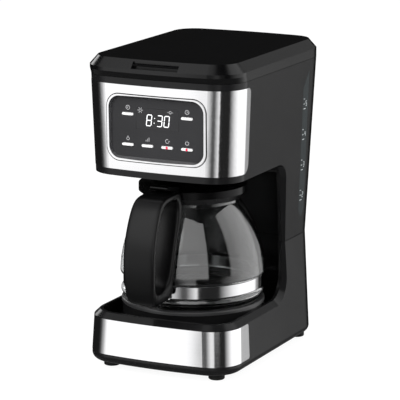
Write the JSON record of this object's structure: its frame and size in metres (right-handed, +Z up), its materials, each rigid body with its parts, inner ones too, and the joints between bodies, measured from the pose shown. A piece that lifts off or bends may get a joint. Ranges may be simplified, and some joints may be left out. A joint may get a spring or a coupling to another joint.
{
  "type": "drip coffee maker",
  "caption": "Compact drip coffee maker with a stainless banded black body, sunken control panel, hinged lid over basket and tank, and a glass carafe on a hot plate.",
  "frame": {"origin": "centre of the bounding box at the level of the feet", "axes": "+Z up, the panel and the handle face -Y, +X is the viewer's right from the front"},
  "size_m": [0.143, 0.2285, 0.27],
  "materials": {
    "gloss_black": "satin gloss black plastic",
    "satin_black": "satin black plastic",
    "stainless": "polished brushed stainless sheet",
    "bright_trim": "bright plated frame",
    "panel_black": "gloss black panel",
    "smoke_lens": "dark clear lens",
    "display": "display module",
    "board": "printed board",
    "key_white": "white key",
    "red_lamp": "red lamp lens",
    "steel": "plain steel",
    "rubber": "black rubber",
    "clear_plastic": "translucent plastic",
    "smoke_window": "smoke-tinted window",
    "silicone": "milky silicone",
    "aluminium": "drawn aluminium",
    "plate_coat": "non-stick coated steel",
    "jar_glass": "clear heat-proof glass"
  },
  "bodies": {
    "machine": {"base_shell": "gloss_black", "upper_shell": "gloss_black", "bottom_cover": "satin_black", "feet": "rubber", "case_screws": "steel", "head_trim": "stainless", "base_trim": "stainless", "brew_chamber": "satin_black", "panel_bezel": "bright_trim", "control_panel": "panel_black", "display_lens": "smoke_lens", "lcd_module": "display", "control_board": "board", "board_screws": "steel", "water_tank": "clear_plastic", "tank_screen": "clear_plastic", "water_gauge": "smoke_window", "check_valve": "clear_plastic", "inlet_hose": "silicone", "outlet_hose": "silicone", "riser_tube": "clear_plastic", "hose_clamps": "steel", "heater_tube": "aluminium", "heating_element": "aluminium", "heater_clamp": "steel", "heat_cutouts": "steel", "warming_plate": "plate_coat", "plate_gasket": "rubber", "power_board": "board", "wire_loom": "rubber", "cord_gland": "satin_black"},
    "lid": {"lid_shell": "gloss_black", "lid_grip": "satin_black", "lid_liner": "satin_black", "spray_head": "satin_black", "lid_hinge_pins": "steel"},
    "basket": {"brew_basket": "satin_black", "filter_frame": "satin_black", "filter_mesh": "steel", "drip_spring": "steel"},
    "bail": {"basket_bail": "satin_black"},
    "plunger": {"drip_valve": "clear_plastic", "drip_seal": "rubber"},
    "carafe": {"carafe_jar": "jar_glass", "carafe_band": "stainless", "carafe_collar": "satin_black", "carafe_handle": "gloss_black", "carafe_lid": "gloss_black", "carafe_lid_pin": "steel", "band_screw": "steel"},
    "ball": {"check_ball": "steel"},
    "key_hour": {"button_hour": "key_white"},
    "key_minute": {"button_minute": "key_white"},
    "key_clean": {"button_clean": "key_white"},
    "key_strength": {"button_strength": "key_white"},
    "key_program": {"button_program": "key_white", "lamp_program": "red_lamp"},
    "key_power": {"button_power": "key_white", "lamp_power": "red_lamp"}
  },
  "joints": [
    {"name": "lid_hinge", "type": "hinge", "parent": "machine", "child": "lid", "pos_m": [0, 0.1073, 0.259], "axis": [-1, 0, 0], "range_deg": [0, 90]},
    {"name": "carafe_slide", "type": "slide", "parent": "machine", "child": "carafe", "axis": [0, -1, 0], "range_m": [0, 0.16]},
    {"name": "basket_lift", "type": "slide", "parent": "machine", "child": "basket", "axis": [0, 0, 1], "range_m": [0, 0.0025]},
    {"name": "bail_swing", "type": "hinge", "parent": "basket", "child": "bail", "pos_m": [0, -0.0097, 0.248], "axis": [-1, 0, 0], "range_deg": [0, 4]},
    {"name": "drip_stop", "type": "slide", "parent": "basket", "child": "plunger", "axis": [0, 0, -1], "range_m": [0, 0.0025], "deforming": ["drip_spring"]},
    {"name": "valve_ball", "type": "slide", "parent": "machine", "child": "ball", "axis": [0, 0, 1], "range_m": [0, 0.003]},
    {"name": "press_hour", "type": "slide", "parent": "machine", "child": "key_hour", "axis": [0, 1, 0], "range_m": [0, 0.0008], "stiffness_N_per_m": 500},
    {"name": "press_minute", "type": "slide", "parent": "machine", "child": "key_minute", "axis": [0, 1, 0], "range_m": [0, 0.0008], "stiffness_N_per_m": 500},
    {"name": "press_clean", "type": "slide", "parent": "machine", "child": "key_clean", "axis": [0, 1, 0], "range_m": [0, 0.0008], "stiffness_N_per_m": 500},
    {"name": "press_strength", "type": "slide", "parent": "machine", "child": "key_strength", "axis": [0, 1, 0], "range_m": [0, 0.0008], "stiffness_N_per_m": 500},
    {"name": "press_program", "type": "slide", "parent": "machine", "child": "key_program", "axis": [0, 1, 0], "range_m": [0, 0.0008], "stiffness_N_per_m": 500},
    {"name": "press_power", "type": "slide", "parent": "machine", "child": "key_power", "axis": [0, 1, 0], "range_m": [0, 0.0008], "stiffness_N_per_m": 500}
  ],
  "couplings": [
    {"joint": "drip_stop", "follows": "carafe_slide", "ratio": 0.015625}
  ]
}
